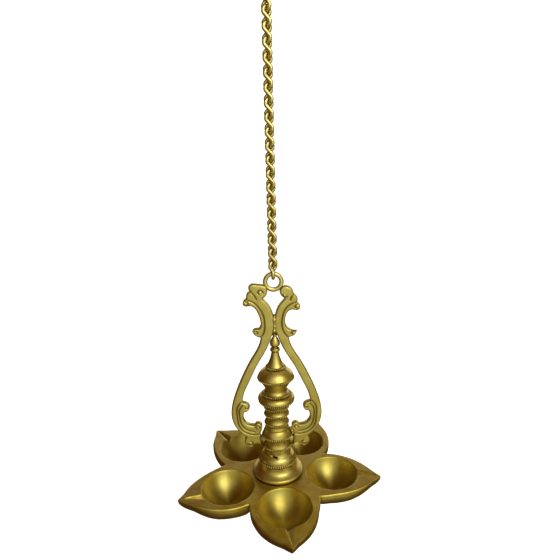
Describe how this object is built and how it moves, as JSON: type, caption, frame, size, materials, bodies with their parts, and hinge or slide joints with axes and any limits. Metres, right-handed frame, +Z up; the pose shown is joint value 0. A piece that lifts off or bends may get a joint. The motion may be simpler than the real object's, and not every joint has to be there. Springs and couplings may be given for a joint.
{
  "type": "hanging oil lamp",
  "caption": "Hanging brass oil lamp: a star dish of pointed bowls under a turned column, carried by two scroll arms and a ring on a twisted-link chain with an S-hook.",
  "frame": {"origin": "the point inside the top of the S-hook's open bend where it bears on whatever holds the lamp up", "axes": "+Z up along the hanging chain, X across the two scroll arms, -Y towards the front petal"},
  "size_m": [0.1912, 0.188, 0.4801],
  "materials": {
    "chain_brass": "drawn brass wire, satin, darkened between the links",
    "arm_brass": "cast brass, filed faces, satin with brown in the grooves",
    "column_brass": "turned brass, polished ridges, brown in the grooves",
    "dish_brass": "cast brass, brushed bowls, aged underside",
    "fixing_brass": "plain machined brass"
  },
  "bodies": {
    "hook": {"top_hook": "chain_brass"},
    "link_01": {"chain_link_01": "chain_brass"},
    "link_02": {"chain_link_02": "chain_brass"},
    "link_03": {"chain_link_03": "chain_brass"},
    "link_04": {"chain_link_04": "chain_brass"},
    "link_05": {"chain_link_05": "chain_brass"},
    "link_06": {"chain_link_06": "chain_brass"},
    "link_07": {"chain_link_07": "chain_brass"},
    "link_08": {"chain_link_08": "chain_brass"},
    "link_09": {"chain_link_09": "chain_brass"},
    "link_10": {"chain_link_10": "chain_brass"},
    "link_11": {"chain_link_11": "chain_brass"},
    "link_12": {"chain_link_12": "chain_brass"},
    "link_13": {"chain_link_13": "chain_brass"},
    "link_14": {"chain_link_14": "chain_brass"},
    "link_15": {"chain_link_15": "chain_brass"},
    "link_16": {"chain_link_16": "chain_brass"},
    "link_17": {"chain_link_17": "chain_brass"},
    "link_18": {"chain_link_18": "chain_brass"},
    "link_19": {"chain_link_19": "chain_brass"},
    "link_20": {"chain_link_20": "chain_brass"},
    "lamp": {"suspension_ring": "chain_brass", "left_arm": "arm_brass", "right_arm": "arm_brass", "finial": "column_brass", "cone_cap": "column_brass", "upper_bulb": "column_brass", "disc_knop": "column_brass", "ringed_shaft": "column_brass", "arm_drum": "column_brass", "bell_foot": "column_brass", "five_bowl_dish": "dish_brass", "tie_rod": "fixing_brass", "washer": "fixing_brass", "nut": "fixing_brass"}
  },
  "joints": [
    {"name": "link_01_swing", "type": "hinge", "parent": "hook", "child": "link_01", "pos_m": [0, 0, -0.0355], "axis": [1, 0, 0], "range_deg": [-35, 35]},
    {"name": "link_02_swing", "type": "hinge", "parent": "link_01", "child": "link_02", "pos_m": [0, 0, -0.04344], "axis": [0.7071, 0.7071, 0], "range_deg": [-35, 35]},
    {"name": "link_03_swing", "type": "hinge", "parent": "link_02", "child": "link_03", "pos_m": [0, 0, -0.05792], "axis": [0.7071, -0.7071, 0], "range_deg": [-35, 35]},
    {"name": "link_04_swing", "type": "hinge", "parent": "link_03", "child": "link_04", "pos_m": [0, 0, -0.06576], "axis": [-0.7071, -0.7071, 0], "range_deg": [-35, 35]},
    {"name": "link_05_swing", "type": "hinge", "parent": "link_04", "child": "link_05", "pos_m": [0, 0, -0.08024], "axis": [-0.7071, 0.7071, 0], "range_deg": [-35, 35]},
    {"name": "link_06_swing", "type": "hinge", "parent": "link_05", "child": "link_06", "pos_m": [0, 0, -0.08808], "axis": [0.7071, 0.7071, 0], "range_deg": [-35, 35]},
    {"name": "link_07_swing", "type": "hinge", "parent": "link_06", "child": "link_07", "pos_m": [0, 0, -0.10256], "axis": [0.7071, -0.7071, 0], "range_deg": [-35, 35]},
    {"name": "link_08_swing", "type": "hinge", "parent": "link_07", "child": "link_08", "pos_m": [0, 0, -0.1104], "axis": [-0.7071, -0.7071, 0], "range_deg": [-35, 35]},
    {"name": "link_09_swing", "type": "hinge", "parent": "link_08", "child": "link_09", "pos_m": [0, 0, -0.12488], "axis": [-0.7071, 0.7071, 0], "range_deg": [-35, 35]},
    {"name": "link_10_swing", "type": "hinge", "parent": "link_09", "child": "link_10", "pos_m": [0, 0, -0.13272], "axis": [0.7071, 0.7071, 0], "range_deg": [-35, 35]},
    {"name": "link_11_swing", "type": "hinge", "parent": "link_10", "child": "link_11", "pos_m": [0, 0, -0.1472], "axis": [0.7071, -0.7071, 0], "range_deg": [-35, 35]},
    {"name": "link_12_swing", "type": "hinge", "parent": "link_11", "child": "link_12", "pos_m": [0, 0, -0.15504], "axis": [-0.7071, -0.7071, 0], "range_deg": [-35, 35]},
    {"name": "link_13_swing", "type": "hinge", "parent": "link_12", "child": "link_13", "pos_m": [0, 0, -0.16952], "axis": [-0.7071, 0.7071, 0], "range_deg": [-35, 35]},
    {"name": "link_14_swing", "type": "hinge", "parent": "link_13", "child": "link_14", "pos_m": [0, 0, -0.17736], "axis": [0.7071, 0.7071, 0], "range_deg": [-35, 35]},
    {"name": "link_15_swing", "type": "hinge", "parent": "link_14", "child": "link_15", "pos_m": [0, 0, -0.19184], "axis": [0.7071, -0.7071, 0], "range_deg": [-35, 35]},
    {"name": "link_16_swing", "type": "hinge", "parent": "link_15", "child": "link_16", "pos_m": [0, 0, -0.19968], "axis": [-0.7071, -0.7071, 0], "range_deg": [-35, 35]},
    {"name": "link_17_swing", "type": "hinge", "parent": "link_16", "child": "link_17", "pos_m": [0, 0, -0.21416], "axis": [-0.7071, 0.7071, 0], "range_deg": [-35, 35]},
    {"name": "link_18_swing", "type": "hinge", "parent": "link_17", "child": "link_18", "pos_m": [0, 0, -0.222], "axis": [0.7071, 0.7071, 0], "range_deg": [-35, 35]},
    {"name": "link_19_swing", "type": "hinge", "parent": "link_18", "child": "link_19", "pos_m": [0, 0, -0.23648], "axis": [0.7071, -0.7071, 0], "range_deg": [-35, 35]},
    {"name": "link_20_swing", "type": "hinge", "parent": "link_19", "child": "link_20", "pos_m": [0, 0, -0.24432], "axis": [-0.7071, -0.7071, 0], "range_deg": [-35, 35]},
    {"name": "lamp_swing", "type": "hinge", "parent": "link_20", "child": "lamp", "pos_m": [0, 0, -0.2588], "axis": [0, 1, 0], "range_deg": [-35, 35]}
  ]
}
